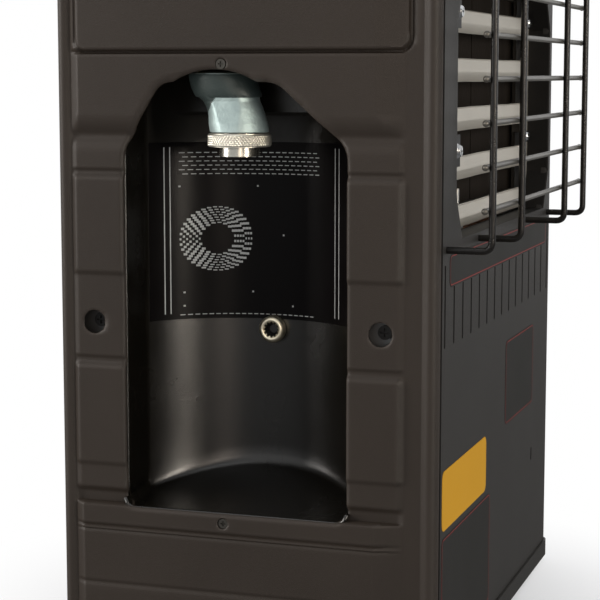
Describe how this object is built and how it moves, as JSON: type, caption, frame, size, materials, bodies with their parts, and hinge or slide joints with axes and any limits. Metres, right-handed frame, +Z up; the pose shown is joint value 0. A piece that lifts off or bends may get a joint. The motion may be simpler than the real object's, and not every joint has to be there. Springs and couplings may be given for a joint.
{
  "type": "gas convector heater",
  "caption": "Portable bottle-gas heater: slatted radiant front behind a wire guard, bottle niche with a swivelling regulator, push-and-turn knob, folding handle.",
  "frame": {"origin": "middle of the footprint, on the floor under the feet", "axes": "+Z up; the radiant front faces -Y and the bottle niche faces -X"},
  "size_m": [0.329, 0.2546, 0.467],
  "materials": {
    "cover_dark": "matte, fine grain",
    "sheet_dark": "satin, fine texture",
    "tray_dark": "satin",
    "foot_rubber": "matte",
    "frame_zinc": "zinc coated",
    "shield_steel": "plain",
    "liner_dark": "matte",
    "label_black": "satin film",
    "bolt_steel": "turned",
    "screw_steel": "plain",
    "screw_dark": "blackened",
    "label_grey": "satin film",
    "label_yellow": "satin film",
    "reflector_grey": "heat-tinted",
    "slat_steel": "brushed along the slats",
    "screw_bright": "plated",
    "plaque_ceramic": "porous fired clay",
    "housing_steel": "aluminised",
    "tube_zinc": "zinc coated",
    "brass": "turned",
    "pilot_steel": "plain",
    "copper": "drawn copper",
    "lead_white": "glazed",
    "wire_black": "gloss",
    "wire_lit": "gloss",
    "zinc_cast": "cast zinc, mottled",
    "cap_dark": "matte",
    "ring_cream": "knurled",
    "socket_zinc": "turned",
    "valve_cast": "cast",
    "stem_steel": "ground",
    "knob_black": "matte",
    "bezel_steel": "brushed",
    "button_red": "gloss",
    "igniter_black": "matte",
    "switch_black": "matte",
    "top_dark": "matte, fine grain",
    "grille_dark": "satin",
    "bar_black": "gloss",
    "grip_black": "matte"
  },
  "bodies": {
    "heater": {"base_tray": "tray_dark", "feet": "foot_rubber", "frame_posts": "frame_zinc", "chassis_plate": "frame_zinc", "heat_shield": "shield_steel", "niche_cover": "cover_dark", "niche_liner": "liner_dark", "niche_label": "label_black", "niche_bolt": "bolt_steel", "cover_screws": "screw_steel", "rail_screws": "screw_dark", "plain_cover": "cover_dark", "rear_panel": "sheet_dark", "front_panel": "sheet_dark", "front_label_plate": "label_grey", "front_label_yellow": "label_yellow", "front_labels_grey": "label_grey", "reflector_box": "reflector_grey", "reflector_slats": "slat_steel", "reflector_screws": "screw_bright", "burner_plaques": "plaque_ceramic", "burner_housing": "housing_steel", "mixing_tube": "tube_zinc", "gas_jet": "brass", "pilot_burner": "pilot_steel", "thermocouple": "copper", "spark_electrode": "lead_white", "guard_uprights": "wire_black", "guard_crossbars": "wire_lit", "swivel_pin": "brass", "swivel_elbow": "brass", "inlet_pipe": "copper", "burner_pipe": "copper", "pilot_pipe": "copper", "gas_valve": "valve_cast", "control_bezel": "bezel_steel", "igniter_body": "igniter_black", "tip_switch": "switch_black", "top_cover": "top_dark", "top_grille": "grille_dark", "handle_brackets": "bar_black", "rear_screws": "screw_steel"},
    "regulator": {"regulator_body": "zinc_cast", "regulator_cap": "cap_dark", "cylinder_socket": "socket_zinc"},
    "coupling_ring": {"coupling_ring": "ring_cream"},
    "valve_plug": {"valve_plug": "brass"},
    "knob": {"valve_stem": "stem_steel", "control_knob": "knob_black"},
    "igniter_button": {"igniter_button": "button_red"},
    "handle": {"handle_bar": "bar_black", "handle_grip": "grip_black"}
  },
  "joints": [
    {"name": "regulator_swing", "type": "hinge", "parent": "heater", "child": "regulator", "pos_m": [-0.151, 0, 0.353], "axis": [0, 1, 0], "range_deg": [0, 28]},
    {"name": "ring_spin", "type": "hinge", "parent": "regulator", "child": "coupling_ring", "pos_m": [-0.141, 0.02095, 0.31], "axis": [0, 0, 1], "continuous": true},
    {"name": "knob_turn", "type": "hinge", "parent": "heater", "child": "valve_plug", "pos_m": [0.097, -0.02225, 0.42], "axis": [0, 0, 1], "range_deg": [0, 180]},
    {"name": "knob_push", "type": "slide", "parent": "valve_plug", "child": "knob", "axis": [0, 0, -1], "range_m": [0, 0.004], "stiffness_N_per_m": 500, "springref_m": -0.003},
    {"name": "igniter_push", "type": "slide", "parent": "heater", "child": "igniter_button", "axis": [0, 0, -1], "range_m": [0, 0.006], "stiffness_N_per_m": 600, "springref_m": -0.003},
    {"name": "handle_swing", "type": "hinge", "parent": "heater", "child": "handle", "pos_m": [0, 0.00975, 0.457], "axis": [1, 0, 0], "range_deg": [0, 95]}
  ]
}
